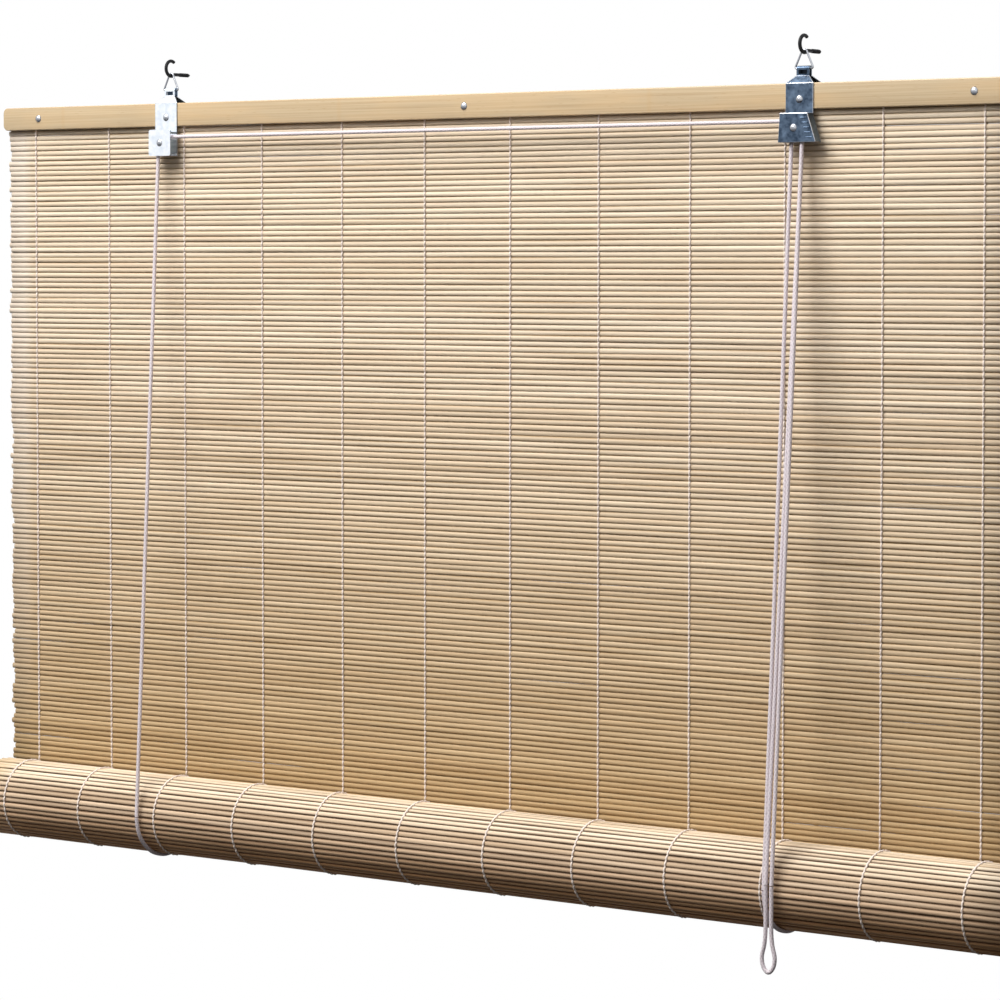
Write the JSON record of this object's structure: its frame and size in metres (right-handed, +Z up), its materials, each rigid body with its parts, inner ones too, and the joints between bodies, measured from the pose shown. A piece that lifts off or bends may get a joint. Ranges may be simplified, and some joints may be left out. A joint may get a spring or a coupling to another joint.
{
  "type": "bamboo roll-up blind",
  "caption": "Bamboo reed roll-up blind with a bamboo head rail, zinc hangers on black screw hooks, lift cords, a cord lock and the lower part rolled up.",
  "frame": {"origin": "on the wall, midway between the two screw hooks, on their shanks' line", "axes": "+X along the rail to the lock side, +Y into the wall, +Z up"},
  "size_m": [1.022, 0.0996, 0.695],
  "materials": {
    "bamboo_lath": "satin",
    "bamboo_reed": "matte",
    "warp_thread": "matte",
    "zinc_steel": "satin",
    "black_steel": "satin",
    "cotton_cord": "matte"
  },
  "bodies": {
    "wall_hooks": {"left_hook": "black_steel", "right_hook": "black_steel", "left_ring": "zinc_steel", "right_ring": "zinc_steel"},
    "blind": {"front_lath": "bamboo_lath", "back_lath": "bamboo_lath", "rail_nails": "zinc_steel", "hanging_mat": "bamboo_reed", "warp_threads": "warp_thread", "left_strap": "zinc_steel", "right_strap": "zinc_steel", "left_strap_rivet": "zinc_steel", "right_strap_rivet": "zinc_steel", "left_guide_box": "zinc_steel", "right_cord_lock": "zinc_steel", "left_axle_rivet": "zinc_steel", "right_axle_rivet": "zinc_steel", "left_knot": "cotton_cord", "right_knot": "cotton_cord", "cross_cord": "cotton_cord", "left_front_cord": "cotton_cord", "left_back_cord": "cotton_cord", "right_front_cord": "cotton_cord", "right_back_cord": "cotton_cord", "pull_strand_a": "cotton_cord", "pull_strand_b": "cotton_cord"},
    "slings": {"left_sling_cord": "cotton_cord", "right_sling_cord": "cotton_cord", "pull_loop": "cotton_cord"},
    "roll": {"roll": "bamboo_reed", "roll_threads": "warp_thread", "front_bottom_lath": "bamboo_lath", "back_bottom_lath": "bamboo_lath", "bottom_nails": "zinc_steel"},
    "left_pulley": {"left_pulley": "zinc_steel"},
    "right_pulley": {"right_pulley": "zinc_steel"}
  },
  "joints": [
    {"name": "blind_swing", "type": "hinge", "parent": "wall_hooks", "child": "blind", "pos_m": [0, -0.014, -0.0134], "axis": [-1, 0, 0], "range_deg": [0, 45]},
    {"name": "roll_lift", "type": "slide", "parent": "blind", "child": "slings", "axis": [0, 0, 1], "range_m": [0, 0.4273], "deforming": ["hanging_mat", "warp_threads", "left_front_cord", "right_front_cord", "left_back_cord", "right_back_cord", "pull_strand_a", "pull_strand_b"]},
    {"name": "roll_spin", "type": "hinge", "parent": "slings", "child": "roll", "pos_m": [0, -0.05066, -0.6209], "axis": [1, 0, 0], "range_deg": [-720, 0]},
    {"name": "left_pulley_spin", "type": "hinge", "parent": "blind", "child": "left_pulley", "pos_m": [-0.312, -0.02475, -0.0579], "axis": [0, 1, 0], "continuous": true},
    {"name": "right_pulley_spin", "type": "hinge", "parent": "blind", "child": "right_pulley", "pos_m": [0.312, -0.02475, -0.0579], "axis": [0, 1, 0], "continuous": true}
  ],
  "couplings": [
    {"joint": "roll_spin", "follows": "roll_lift", "rad_per_m": -29.409}
  ]
}
